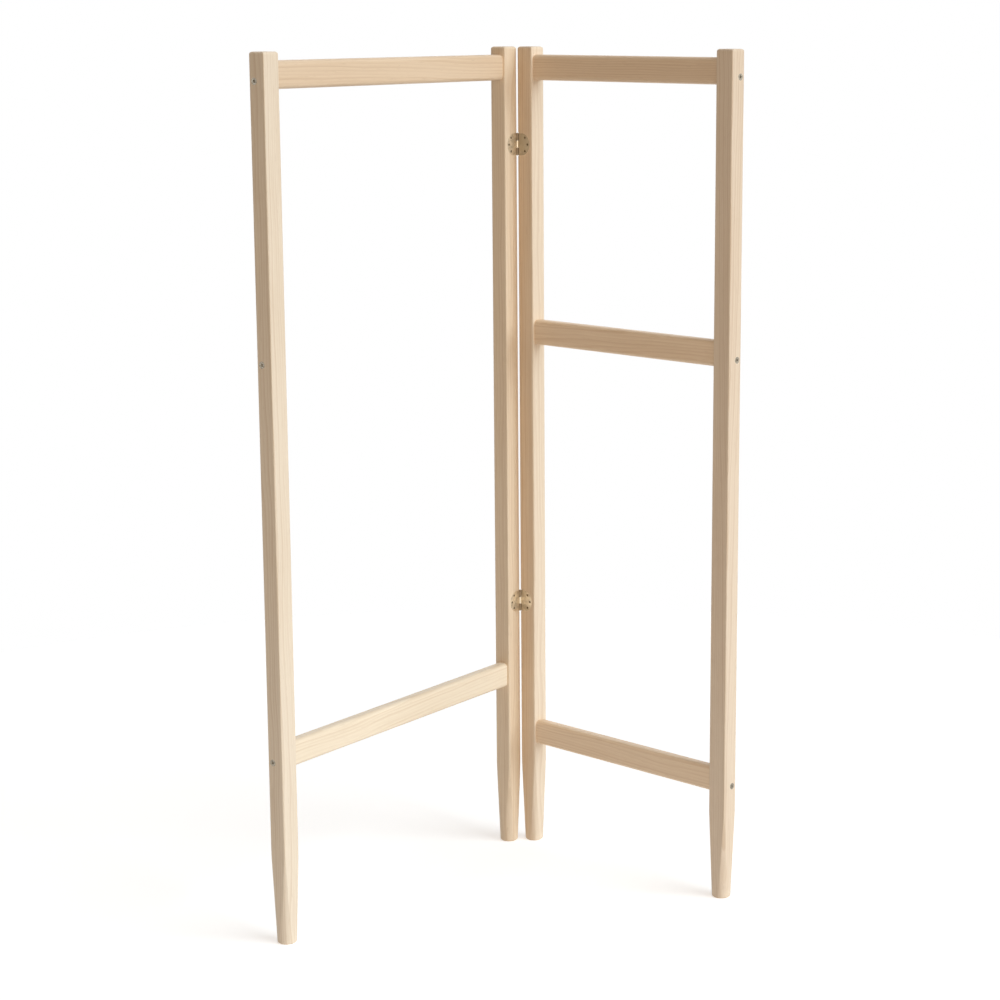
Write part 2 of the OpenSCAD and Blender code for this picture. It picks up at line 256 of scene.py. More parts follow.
class RackStage(bpy.types.PropertyGroup):
    """Camera, lamps and floor"""

    lens: amount("Lens", "Focal length of the camera", 86.52, 300, 10)
    shift: amount("Shift", "Sideways shift that the photograph's framing has", -0.07798, 0.2, -0.2)
    heading: degrees("Heading", "Way that the camera looks, from +X towards +Y", 35.1426)
    pitch: degrees("Pitch", "How far the camera looks down", 11.5048)
    roll: degrees("Roll", "How far the camera leans to its side", -0.0704)
    distance: metres("Distance", "Level distance from the camera to the hinge pins", 3.5881, 1, 20)
    offset: metres("Offset", "How far the hinge pins stand to the left of the line of sight",
        0.08903, -1, 1)
    eye_height: metres("Eye Height", "Height of the camera above the floor", 1.2710, 0.1, 5)
    key_strength: amount("Key Light", "Strength of the window light from the camera's right", 2.22, 10)
    key_colour: rgb("Key Colour", "Colour of the window light", 0.855, 0.94, 1.0)
    key_side: degrees("Key Side", "Where the window light comes from, from -Y towards +X", 9)
    key_rise: degrees("Key Rise", "How high above the level the window light comes from", 26)
    key_size: degrees("Key Size", "Angle that the window light fills, which softens its shadows", 46)
    fill_strength: amount("Fill Light", "Strength of the soft light from the camera's left", 0.68, 10)
    fill_side: degrees("Fill Side", "Where the fill light comes from, from -Y towards -X", 45)
    fill_rise: degrees("Fill Rise", "How high above the level the fill light comes from", 12)
    fill_size: degrees("Fill Size", "Angle that the fill light and the back light each fill", 80)
    back_strength: amount("Back Light", "Strength of the soft light from behind", 0.5, 10)
    back_side: degrees("Back Side", "Where the back light comes from, from -Y towards +X", 135)
    back_rise: degrees("Back Rise", "How high above the level the back light comes from", 10)
    top_strength: amount("Top Light", "Strength of the light from straight above", 0.42, 10)
    top_size: degrees("Top Size", "How wide the light from above looks from the rack", 40)
    top_colour: rgb("Top Colour", "Colour of the light from above", 0.75, 0.86, 1.0)
    sky_strength: amount("Sky", "Strength of the light from all round", 0.19, 3)
    sky_colour: rgb("Sky Colour", "Colour of the light from all round", 1.0, 0.78, 0.56)
    floor_size: metres("Floor Size", "Radius of the pale floor, which lights the rack from below",
        1.8, 0.5, 20)
    floor_colour: rgb("Floor", "Colour of the floor", 0.86, 0.86, 0.86)
    floor_light: amount("Floor Light", "White light that the floor gives off like a light table",
        0.13, 1)
    floor_glow: amount("Floor White", "White that the camera sees on the floor beside its light",
        0.38, 1)


# Surfaces

def skin(rings):
    """Quads between each ring of points and the next, and a fan from the middle of both end rings.

    rings[i, j] is point j of ring i. The fans close the ends, so the surface has no border."""
    count, around = rings.shape[:2]
    points = np.vstack([rings.reshape(-1, 3), rings[0].mean(0), rings[-1].mean(0)])
    here = np.arange(count * around).reshape(count, around)
    after = np.roll(here, -1, axis=1)
    quads = np.stack([here[:-1], after[:-1], after[1:], here[1:]], -1).reshape(-1, 4)
    middle = np.full(around, count * around)
    fans = np.vstack([np.stack([after[0], here[0], middle], -1),
                      np.stack([here[-1], after[-1], middle + 1], -1)])
    return points, quads, fans


def joined(surfaces):
    """Several surfaces as one, each after the other's points."""
    starts = np.cumsum([0] + [len(points) for points, _, _ in surfaces])
    points, quads, fans = zip(*surfaces)
    return (np.vstack(points), np.vstack([four + start for four, start in zip(quads, starts)]),
            np.vstack([three + start for three, start in zip(fans, starts)]))


def carried(outlines, places, axis):
    """Skins flat outlines, one for all places or one for each, set at their places along an axis."""
    columns = [outlines[..., 0], outlines[..., 1]]
    columns.insert(axis, np.array(places)[:, None])
    return skin(np.stack(np.broadcast_arrays(*columns), -1))


def placed(surface, origin, axes=np.eye(3)):
    """A surface about the z axis, set at a point with its x, y and z along three given axes."""
    points, quads, fans = surface
    return points @ np.array(axes) + np.array(origin), quads, fans


def all_round(count):
    """So many even angles, once round."""
    return np.linspace(0, 2 * np.pi, count, endpoint=False)


def about_axis(radius, angle, height):
    """Points at a radius from the z axis, at an angle about it and at a height."""
    columns = np.broadcast_arrays(radius * np.cos(angle), radius * np.sin(angle), height)
    return np.stack(columns, -1)


def turned(profile, around=48):
    """A shape turned on a lathe: each (radius, height) of the profile is swept once round z."""
    radius, height = np.array(profile).T[..., None]
    return skin(about_axis(radius, all_round(around), height))


def make_object(name, surface, merge=1e-7):
    """A mesh object of a surface, with points merged that coincide and its faces pointing
    outwards."""
    points, quads, fans = surface
    mesh = bpy.data.meshes.new(name)
    mesh.from_pydata(points.tolist(), [], quads.tolist() + fans.tolist())
    work = bmesh.new()
    work.from_mesh(mesh)
    bmesh.ops.remove_doubles(work, verts=work.verts, dist=merge)
    bmesh.ops.dissolve_degenerate(work, edges=work.edges, dist=merge)
    bmesh.ops.recalc_face_normals(work, faces=work.faces)
    work.to_mesh(mesh)
    work.free()
    piece = bpy.data.objects.new(name, mesh)
    bpy.context.scene.collection.objects.link(piece)
    return piece


def settle_modifiers(piece):
    """Gives a piece the mesh that its modifiers make, and takes them off."""
    depsgraph = bpy.context.evaluated_depsgraph_get()
    rough = piece.data
    final = bpy.data.meshes.new_from_object(piece.evaluated_get(depsgraph))
    piece.modifiers.clear()
    piece.data = final
    bpy.data.meshes.remove(rough)


def carve(piece, surfaces, operation="DIFFERENCE"):
    """Cuts closed surfaces out of a piece, or joins them to it, one cut for them all."""
    tool = make_object("cutter", joined(surfaces))
    change = piece.modifiers.new("Cut", "BOOLEAN")
    change.operation, change.solver, change.object = operation, "MANIFOLD", tool
    settle_modifiers(piece)
    bpy.data.meshes.remove(tool.data)


def shade(piece, crease=32):
    """Smooth shading up to a crease angle, with the flats kept flat by weighting the faces."""
    piece.data.shade_smooth()
    piece.data.set_sharp_from_angle(angle=math.radians(crease))
    piece.modifiers.new("Flats", "WEIGHTED_NORMAL").keep_sharp = True
    settle_modifiers(piece)


def finish_piece(piece, panel, node, material):
    """Sets a piece in its panel's place, gives it its finish and lets it stand for its CAD node."""
    mesh, body = piece.data, panel.body
    mesh.vertices.foreach_set("co", panel.to_rack(corners(mesh)).ravel())
    if panel.flips:
        mesh.flip_normals()
    mesh.update()
    shade(piece)
    piece.data.materials.clear()
    piece.data.materials.append(material)
    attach(piece, body)
    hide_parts(node)


# Screws and dowels, and their holes

def fasteners(panel, node):
    """A node's screws or dowels, as (middle of the head, axes, radius, length) in panel axes.

    The last of the three axes is the way in: back through a hinge leaf, or through the post along
    the rail, from the side that lies nearer."""
    in_leaf = "_hinge_" in node
    panel_middle = panel.box(panel.side + "_outer_post")[1][0] / 2
    found = []
    for low, high in panel.boxes(node, *((2, LEAF_SCREW_GAP) if in_leaf else (0, RAIL_END_GAP))):
        middle, size = (low + high) / 2, high - low
        inwards = 1 if middle[0] < panel_middle else -1
        axes = np.array([(1, 0, 0), (0, 0, -1), (0, 1, 0)] if in_leaf else
                        [(0, inwards, 0), (0, 0, 1), (inwards, 0, 0)], float)
        radius, length = abs(axes[0] @ size) / 2, abs(axes[2] @ size)
        found.append((middle - axes[2] * length / 2, axes, radius, length))
    return found


def screw_hole(length, shank, head, fit, ahead=0.4 * MM):
    """Hole for a countersunk screw that enters at z = 0 and points along z. Its cone runs on
    ahead of the surface, so that it meets the surface at an angle."""
    over = head + 2 * fit
    return turned([(over + ahead, -ahead), (shank + fit, over - shank - fit),
                   (shank + fit, length)])


def touches(start, end, low, high, least=0.5 * MM):
    """True if the way from start to end reaches further than the least depth into a box."""
    near, far = np.minimum(start, end), np.maximum(start, end)
    return bool(np.all(far > low + least) and np.all(near < high - least))


def wood_cuts(panel, low, high, timber, metal):
    """Every screw and dowel hole that reaches into the box of a post or a rail."""
    cuts, fit = [], metal.hole_fit
    for node in panel.fastener_nodes():
        shank = metal.leaf_shank if "_hinge_" in node else metal.rail_shank
        for head, axes, radius, length in fasteners(panel, node):
            if not touches(head, head + axes[2] * length, low, high):
                continue
            if node.endswith("dowels"):
                reach, depth = radius + fit, timber.dowel_depth
                hole = turned([(reach, -depth), (reach, depth)])
                cuts.append(placed(hole, head + axes[2] * length / 2, axes))
            else:
                cuts.append(placed(screw_hole(length + fit, shank, radius, fit), head, axes))
    return cuts


# Posts and rails

def log_coordinates(points, place, along_axis):
    """Where each point of a board lay in its log, as (across, through, along) the heart line.

    The heart is a straight line that passes the middle of the board at a distance and drifts
    away evenly along it, so the rings on a face turn from straight lines into long arches."""
    across, through, drift_across, drift_through, start = place
    low, high = box_of(points)
    local = points - (low + high) / 2
    along = local[:, along_axis]
    width, depth = (2, 1) if along_axis == 0 else (0, 1)
    return np.stack([local[:, width] - across - drift_across * along,
                     local[:, depth] - through - drift_through * along,
                     along + start], -1)


def finish_board(board, panel, node, context, along_axis):
    """Drills a board, tells each of its points where it lay in the log and finishes it."""
    timber, metal = context.scene.rack_timber, context.scene.rack_metal
    carve(board, wood_cuts(panel, *panel.box(node), timber, metal))
    log = board.data.attributes.new("log", "FLOAT_VECTOR", "POINT")
    places = log_coordinates(corners(board.data), BOARDS[node][0], along_axis)
    log.data.foreach_set("vector", places.ravel())
    finish_piece(board, panel, node, board_material(node, timber))


def post_rings(half_w, half_d, height, timber, foot_rings=70, top_rings=9, flat_points=5,
               corner_points=9, tiny=1e-9):
    """A post about the z axis, as one outline for each height.

    Each outline is a rectangle with round corners, cut by a circle that grows from the foot.
    A side runs straight to where the corner rounding or the circle begins, whichever is nearer
    its middle, and a corner runs from there by its angle about the axis, at the lesser of the
    rounded rectangle's radius and the circle's. At the top the outline draws in along a quarter
    circle. Each height is one row of the arrays, and half of it is the other half turned round."""
    slope = (math.hypot(half_w, half_d) - timber.foot_radius) / timber.foot_height
    chamfer, top = timber.foot_chamfer, timber.top_radius
    foot = np.linspace(chamfer, timber.foot_height, foot_rings)
    turn = np.radians(np.linspace(0, 90, top_rings))
    z = np.concatenate([[0.0, chamfer / 2], foot, [height / 2], height - top + top * np.sin(turn)])
    circle = timber.foot_radius + slope * z
    circle[:2] -= chamfer - z[:2]
    circle = circle[:, None]
    inset = np.zeros_like(z)
    inset[-len(turn):] = top * (1 - np.cos(turn))
    a, b, e = (half_w - inset)[:, None], (half_d - inset)[:, None], timber.edge_radius
    centre_x, centre_y = a - e, b - e
    end_x = np.minimum(centre_x, np.sqrt(np.maximum(circle ** 2 - b ** 2, 0)))
    end_y = np.minimum(centre_y, np.sqrt(np.maximum(circle ** 2 - a ** 2, 0)))
    first = np.arctan2(end_y, np.minimum(a, circle))
    last = np.arctan2(np.minimum(b, circle), end_x)
    angle = first + (last - first) * np.linspace(0, 1, corner_points)[None, :]
    across, up = np.cos(angle), np.sin(angle)
    square = np.minimum(a / np.maximum(across, tiny), b / np.maximum(up, tiny))
    along = across * centre_x + up * centre_y
    under_root = along ** 2 - centre_x ** 2 - centre_y ** 2 + e ** 2
    rounded = along + np.sqrt(np.maximum(under_root, 0))
    in_corner = (square * across > centre_x) & (square * up > centre_y)
    radius = np.minimum(np.where(in_corner, rounded, square), circle)
    quarter_x, quarter_y = radius * across, radius * up
    side = np.linspace(1, -1, flat_points)[None, 1:-1]
    face_x = np.minimum(a, circle) * np.ones_like(side)
    face_y = np.minimum(b, circle) * np.ones_like(side)
    half_x = np.hstack([quarter_x, end_x * side, -quarter_x[:, ::-1], -face_x])
    half_y = np.hstack([quarter_y, face_y, quarter_y[:, ::-1], end_y * side])
    x, y = (np.hstack([half, -half]) for half in (half_x, half_y))
    return np.stack(np.broadcast_arrays(x, y, z[:, None]), -1)


def hinge_beds(panel, metal, ahead=MM):
    """For each hinge, the round-ended bed of its leaf, from a little ahead of the post's face, and
    the groove round its knuckles."""
    beds, play = [], metal.knuckle_play
    for hinge in HINGES:
        low, high, front, back = leaf_plate(panel, f"{hinge}_{panel.side}_leaf")
        outline = leaf_outline(low, high, metal.recess_fit)
        beds.append(carried(outline, [front - ahead, back], axis=1))
        pin_low, pin_high = panel.box(hinge + "_pin")
        clear = metal.knuckle_radius + play
        beds.append(turned([(clear, pin_low[2] - play), (clear, pin_high[2] + play)]))
    return beds


class CLOTHESRACK_OT_posts(bpy.types.Operator):
    """Makes the four posts with their turned feet, and drills them"""

    bl_idname = "clothes_rack.posts"
    bl_label = "Posts"

    def execute(self, context):
        for panel, node, low, high in boards("post"):
            width, depth, height = high - low
            rings = post_rings(width / 2, depth / 2, height, context.scene.rack_timber)
            foot = ((low[0] + high[0]) / 2, (low[1] + high[1]) / 2, low[2])
            post = make_object(node + "_turned", placed(skin(rings), foot))
            if node.endswith("hinge_post"):
                for bed in hinge_beds(panel, context.scene.rack_metal):
                    carve(post, [bed])
            finish_board(post, panel, node, context, along_axis=2)
        return {"FINISHED"}


def rail_outline(half_t, half_h, radius, corner_points=13):
    """Outline of a rail: four quarter circles about the inset corners, joined by its flats."""
    outline = []
    for quarter, (side, rise) in enumerate([(1, 1), (-1, 1), (-1, -1), (1, -1)]):
        angle = np.radians(np.linspace(90 * quarter, 90 * quarter + 90, corner_points))
        outline.append(np.stack([side * (half_t - radius) + radius * np.cos(angle),
                                 rise * (half_h - radius) + radius * np.sin(angle)], -1))
    return np.vstack(outline)


class CLOTHESRACK_OT_rails(bpy.types.Operator):
    """Makes the five rails with their rounded edges, and drills their ends"""

    bl_idname = "clothes_rack.rails"
    bl_label = "Rails"

    def execute(self, context):
        for panel, node, low, high in boards("rail"):
            _, thickness, height = high - low
            middle = (low + high) / 2
            outline = rail_outline(thickness / 2, height / 2, context.scene.rack_timber.rail_radius)
            along = np.linspace(low[0], high[0], num=25)
            rail = make_object(node + "_planed", carried(outline + middle[1:], along, axis=0))
            finish_board(rail, panel, node, context, along_axis=0)
        return {"FINISHED"}


class CLOTHESRACK_OT_dowels(bpy.types.Operator):
    """Gives the dowels, which stay hidden in the joints, their beech"""

    bl_idname = "clothes_rack.dowels"
    bl_label = "Dowels"

    def execute(self, context):
        beech = dowel_material(context.scene.rack_timber)
        for node, piece in frame["nodes"].items():
            if node.endswith("dowels"):
                piece.data.materials.clear()
                piece.data.materials.append(beech)
        return {"FINISHED"}


# Screws and pins

def step(value, start, end):
    """0 up to start and 1 from end on, by a smooth cubic between them."""
    share = np.clip((value - start) / (end - start), 0, 1)
    return share * share * (3 - 2 * share)


def cross_recess(x, y, radius, deep=0.42, wing=0.13, taper=0.05, wall=0.05, flat=0.30, tip=0.58):
    """Depth of a cross recess: two tapered wings whose floor rises to nothing at their tips.

    Its measures are shares of the head's radius: the depth, the wings' half width in the middle
    and what they lose of it on the way out, the walls' slant, and where the floor's rise starts
    and ends."""
    long_way, short_way = np.maximum(abs(x), abs(y)), np.minimum(abs(x), abs(y))
    wing_half = radius * (wing - taper * long_way / radius)
    walls = 1 - step(short_way, wing_half, wing_half + radius * wall)
    return radius * deep * walls * (1 - step(long_way, radius * flat, radius * tip))


def slot_recess(x, y, radius, deep=0.30, flat=0.15, edge=0.21):
    """Depth of a straight slot right across the head, in shares of the head's radius: how deep
    it is, and half its width at its floor and at the face."""
    return radius * deep * (1 - step(abs(y), radius * flat, radius * edge))


def screw_surface(length, shank, head, recess, pitch, core=0.68, neck=0.12, ridge=0.55,
                  point=2.4, tip=0.2, around=72, face_start=0.02, face_rings=18,
                  cone_start=0.06, cone_rings=5, turn_rings=7):
    """A countersunk screw that points along z with its head at z = 0.

    The recess gives how deep the head's face is sunk at each point. The head's cone narrows to a
    plain neck. From there the radius is the core's plus a ridge whose height depends on how far
    the place lies from the middle of the thread, which climbs by the pitch in one turn, and the
    last stretch narrows to a point. The core is a share of the shank's radius, the neck of the
    length, the ridge's width of the pitch and the tip of the last ring. The point is as long as
    so many shank radii."""
    angle = all_round(around)
    face = about_axis(np.linspace(face_start, 1.0, face_rings)[:, None] * head, angle, 0.0)
    face[..., 2] = recess(face[..., 0], face[..., 1], head)
    cone_end = head - shank
    thread_start = cone_end + neck * length
    depth = np.concatenate([np.linspace(cone_start * cone_end, cone_end, cone_rings),
                            np.arange(thread_start, length, pitch / turn_rings)])[:, None]
    turn = np.mod(depth / pitch - angle / (2 * np.pi), 1.0)
    thread_depth = shank - shank * core
    thread = thread_depth * np.clip(1 - np.abs(2 * turn - 1) / ridge, 0, 1)
    run_in = step(depth, thread_start, thread_start + pitch)
    body = shank * core + thread * run_in + thread_depth * (1 - run_in)
    radius = np.where(depth < cone_end, head - depth, np.minimum(body, shank))
    narrowing = np.sqrt(np.clip((length - depth) / (point * shank), 0, 1))
    shaft = about_axis(radius * np.where(depth > cone_end, narrowing, 1.0), angle, depth)
    end = shaft[-1:] * (tip, tip, 0.0) + (0.0, 0.0, length)
    return skin(np.vstack([face, shaft, end]))


def make_screws(panel, node, shank, pitch, recess, material, first_turn, next_turn):
    """Makes a node's screws. The slot or cross of the first is turned by its angle in degrees,
    and that of each other one by the next turn more."""
    screws = []
    for number, (head, axes, radius, length) in enumerate(fasteners(panel, node)):
        turn = math.radians(first_turn + next_turn * number)
        first, second, way_in = axes
        spun = [math.cos(turn) * first + math.sin(turn) * second,
                math.cos(turn) * second - math.sin(turn) * first, way_in]
        screw = screw_surface(length, shank, radius, recess, pitch)
        screws.append(placed(screw, head, spun))
    piece = make_object(node + "_threaded", joined(screws))
    finish_piece(piece, panel, node, material)


class CLOTHESRACK_OT_rail_screws(bpy.types.Operator):
    """Makes the cross-headed wood screws at the rail ends, and the spare one"""

    bl_idname = "clothes_rack.rail_screws"
    bl_label = "Rail Screws"

    def execute(self, context):
        metal = context.scene.rack_metal
        steel = metal_material("Screw steel", metal.steel, metal.steel_dull,
                               scale=420.0, sheen=0.42)
        # A screw's cross ends at any angle. Here it goes by the length of the node's name.
        for panel in PANELS:
            for node in panel.fastener_nodes():
                if node.endswith(("rail_screws", "spare_screw")):
                    make_screws(panel, node, metal.rail_shank, metal.rail_pitch, cross_recess,
                                steel, first_turn=25 + 17 * len(node),
                                next_turn=40)
        return {"FINISHED"}


class CLOTHESRACK_OT_leaf_screws(bpy.types.Operator):
    """Makes the small slotted screws of the hinge leaves"""

    bl_idname = "clothes_rack.leaf_screws"
    bl_label = "Leaf Screws"

    def execute(self, context):
        metal = context.scene.rack_metal
        dull = [part / 2 for part in metal.screw_brass]
        brass = metal_material("Leaf screw brass", metal.screw_brass, dull, scale=900.0, sheen=0.38)
        for hinge in HINGES:
            for panel in PANELS:
                make_screws(panel, f"{hinge}_{panel.side}_screws", metal.leaf_shank,
                            metal.leaf_pitch, slot_recess, brass,
                            first_turn=-80, next_turn=120)
        return {"FINISHED"}


def pin_profile(low_z, high_z, head, pin, dome=0.8, open_angle=84, points=9):
    """Outline of a hinge pin: a low dome, the shank and a like dome below it.

    A dome is a quarter of an ellipse from near its middle to its rim. It rises by a share of the
    pin's radius."""
    rise = dome * pin
    turn = np.radians(np.linspace(open_angle, 0, points))
    top = [(head * math.cos(t), high_z - rise + rise * math.sin(t)) for t in turn]
    bottom = [(r, low_z + high_z - z) for r, z in reversed(top)]
    return top + [(pin, high_z - rise), (pin, low_z + rise)] + bottom


class CLOTHESRACK_OT_hinge_pins(bpy.types.Operator):
    """Makes the hinge pins with their low domed heads"""

    bl_idname = "clothes_rack.hinge_pins"
    bl_label = "Hinge Pins"

    def execute(self, context):
        metal, wide = context.scene.rack_metal, PANELS[0]
        brass = metal_material("Pin brass", metal.brass, metal.brass_dull, scale=700.0, sheen=0.26)
        for hinge in HINGES:
            node = hinge + "_pin"
            low, high = wide.box(node)
            profile = pin_profile(low[2], high[2], (high[0] - low[0]) / 2, metal.pin_radius)
            middle = (low + high) / 2 * (1, 1, 0)
            piece = make_object(node + "_domed", placed(turned(profile), middle))
            finish_piece(piece, wide, node, brass)
        return {"FINISHED"}


# Hinge leaves

def leaf_outline(low, high, grow=0.0, end_points=48):
    """Outline of a leaf in x and z, grown all round: straight from the pin axis, then half a
    circle."""
    radius = (high[2] - low[2]) / 2
    end_x, middle_z = high[0] - radius, (high[2] + low[2]) / 2
    reach = radius + grow
    angle = np.linspace(-np.pi / 2, np.pi / 2, end_points)
    arc = np.stack([end_x + reach * np.cos(angle), middle_z + reach * np.sin(angle)], -1)
    return np.vstack([arc, [(0.0, middle_z + reach), (0.0, middle_z - reach)]])


def rounded_plate(low, high, front, back, edge, turns=5):
    """A leaf's plate: its outline draws in along a quarter circle at the front and at the back."""
    turn = np.radians(np.linspace(90, 0, turns))
    inset, depth = edge * (1 - np.cos(turn)), edge * (1 - np.sin(turn))
    outlines = np.stack([leaf_outline(low, high, -one) for one in [*inset, *inset[::-1]]])
    return carried(outlines, [*(front + depth), *(back - depth[::-1])], axis=1)


def leaf_plate(panel, node):
    """A leaf's box, and the front and back of its plate, which lies beyond the knuckles."""
    points = panel.points(node)
    low, high = box_of(points)
    plate = points[points[:, 0] > high[0] / 2, 1]
    return low, high, plate.min(), plate.max()


def knuckle(low_z, high_z, inner, outer, edge=0.22 * MM, start=62, sweep=352, rings=61):
    """A rolled knuckle: a rectangle with round corners, in radius and height, carried round the
    pin axis from the leaf until it meets the leaf again, with a fine seam left open."""
    section = rail_outline((outer - inner) / 2, (high_z - low_z) / 2, edge, corner_points=5)
    radius, height = (section + ((inner + outer) / 2, (low_z + high_z) / 2)).T
    angle = np.radians(np.linspace(start, start + sweep, rings))[:, None]
    return skin(about_axis(radius, angle, height))


def make_leaf(panel, hinge, metal, inside_wall=0.3 * MM, past_end=MM):
    """One leaf: a plate and its own knuckles, cleared for the other leaf's knuckles.

    The turned cut is wider than the other leaf's knuckles at their heights. At its own it ends
    inside their wall, and it runs on past the plate's ends."""
    node = f"{hinge}_{panel.side}_leaf"
    low, high, front, back = leaf_plate(panel, node)
    leaf = make_object(node + "_rolled", rounded_plate(low, high, front, back, metal.plate_edge))
    own, ends = OWN_KNUCKLES[panel.side], np.linspace(low[2], high[2], KNUCKLES + 1)
    play, bore = metal.knuckle_play, metal.pin_radius + metal.hole_fit
    cut_ends = ends.copy()
    cut_ends[[0, -1]] += (-past_end, past_end)
    cuts = [turned([(bore + inside_wall if i in own else metal.knuckle_radius + play, z)
                    for i in range(KNUCKLES) for z in cut_ends[i:i + 2]])]
    for head, axes, radius, length in fasteners(panel, f"{hinge}_{panel.side}_screws"):
        cuts.append(placed(screw_hole(length, metal.leaf_shank, radius, metal.hole_fit), head, axes))
    carve(leaf, cuts)
    for i in own:
        barrel = knuckle(ends[i] + play / 2, ends[i + 1] - play / 2, bore, metal.knuckle_radius)
        carve(leaf, [barrel], "UNION")
    tarnish, wear_and_shading = LEAF_DULLING_AND_KNUCKLE_SHADING[node]
    brass = metal_material("Brass " + node, metal.brass, metal.brass_dull, scale=110.0, sheen=0.44,
                           Tarnish=tarnish, Wear=wear_and_shading, Reach=metal.knuckle_radius)
    finish_piece(leaf, panel, node, brass)


class CLOTHESRACK_OT_hinge_leaves(bpy.types.Operator):
    """Makes the round-ended hinge leaves with their rolled knuckles and screw holes"""

    bl_idname = "clothes_rack.hinge_leaves"
    bl_label = "Hinge Leaves"

    def execute(self, context):
        for hinge in HINGES:
            for panel in PANELS:
                make_leaf(panel, hinge, context.scene.rack_metal)
        return {"FINISHED"}


# Materials

class Value:
    """What a socket gives out. It adds, subtracts and multiplies like a number."""

    def __init__(self, graph, socket):
        self.graph, self.socket = graph, socket

    def __add__(self, other):
        return self.graph.math("ADD", self, other)

    def __sub__(self, other):
        return self.graph.math("SUBTRACT", self, other)

    def __mul__(self, other):
        return self.graph.math("MULTIPLY", self, other)


class Graph:
    """Adds nodes to a tree and joins them, so that a material reads from its pattern outwards."""

    def __init__(self, tree):
        self.tree = tree

    def fill(self, sockets, values):
        """Gives sockets, by name or number, their values: plain ones, or those of other sockets."""
        for name, value in values.items():
            if isinstance(value, Value):
                self.tree.links.new(value.socket, sockets[name])
            else:
                sockets[name].default_value = value

    def values(self, kind, inputs, **settings):
        """All that a shader node with its inputs and settings gives out, in order."""
        node = self.tree.nodes.new("ShaderNode" + kind)
        for name, value in settings.items():
            setattr(node, name, value)
        self.fill(node.inputs, inputs)
        return [Value(self, socket) for socket in node.outputs]

    def add(self, kind, inputs, output=0, **settings):
        """One of the values that a node gives out."""
        return self.values(kind, inputs, **settings)[output]

    def math(self, operation, first, second=0.0):
        return self.add("Math", {0: first, 1: second}, operation=operation)

    def vector(self, operation, first, second):
        return self.add("VectorMath", {0: first, 1: second}, operation=operation)

    def times(self, vector, scales):
        return self.vector("MULTIPLY", vector, scales)

    def from_axis(self, vector):
        """How far a point lies from the z axis."""
        flat = self.times(vector, (1.0, 1.0, 0.0))
        return self.add("VectorMath", {0: flat}, 1, operation="LENGTH")

    def noise(self, vector, scales, detail=2.0, output=0):
        """Noise whose size along each axis is one over its scale, in metres. Its output 1 is a
        colour."""
        return self.add("TexNoise", {"Vector": self.times(vector, scales), "Scale": 1.0,
                                     "Detail": detail, "Roughness": 0.55}, output)

    def ramp(self, value, start, end, low=0.0, high=1.0):
        """A smooth step from low at start to high at end."""
        return self.add("MapRange", {0: value, 1: start, 2: end, 3: low, 4: high},
                        interpolation_type="SMOOTHSTEP")

    def mix(self, share, first, second):
        """A colour between two others."""
        return self.add("Mix", {0: share, 6: first, 7: second}, 2, data_type="RGBA")

    def place(self):
        """Where a point lies in its object."""
        return self.add("TexCoord", {}, 3)

    def surface(self, inputs):
        """Joins the shader, with its inputs, to the tree's output."""
        self.values("OutputMaterial", {0: self.add("BsdfPrincipled", inputs)})


VECTOR, COLOUR, NUMBER = "NodeSocketVector", "NodeSocketColor", "NodeSocketFloat"


def new_group(name, inputs):
    """A node group that makes a colour, a roughness and a height: its graph, the values that it
    is given and the sockets for those. Each input has its default number, or else its kind."""
    tree = bpy.data.node_groups.new(name, "ShaderNodeTree")
    for label, value in inputs.items():
        kind = value if isinstance(value, str) else NUMBER
        socket = tree.interface.new_socket(label, in_out="INPUT", socket_type=kind)
        if kind == NUMBER:
            socket.default_value = value
    for label, kind in (("Color", COLOUR), ("Roughness", NUMBER), ("Height", NUMBER)):
        tree.interface.new_socket(label, in_out="OUTPUT", socket_type=kind)
    graph = Graph(tree)
    outputs = tree.nodes.new("NodeGroupInput").outputs
    given = {label: Value(graph, outputs[label]) for label in inputs}
    return graph, given, tree.nodes.new("NodeGroupOutput").inputs


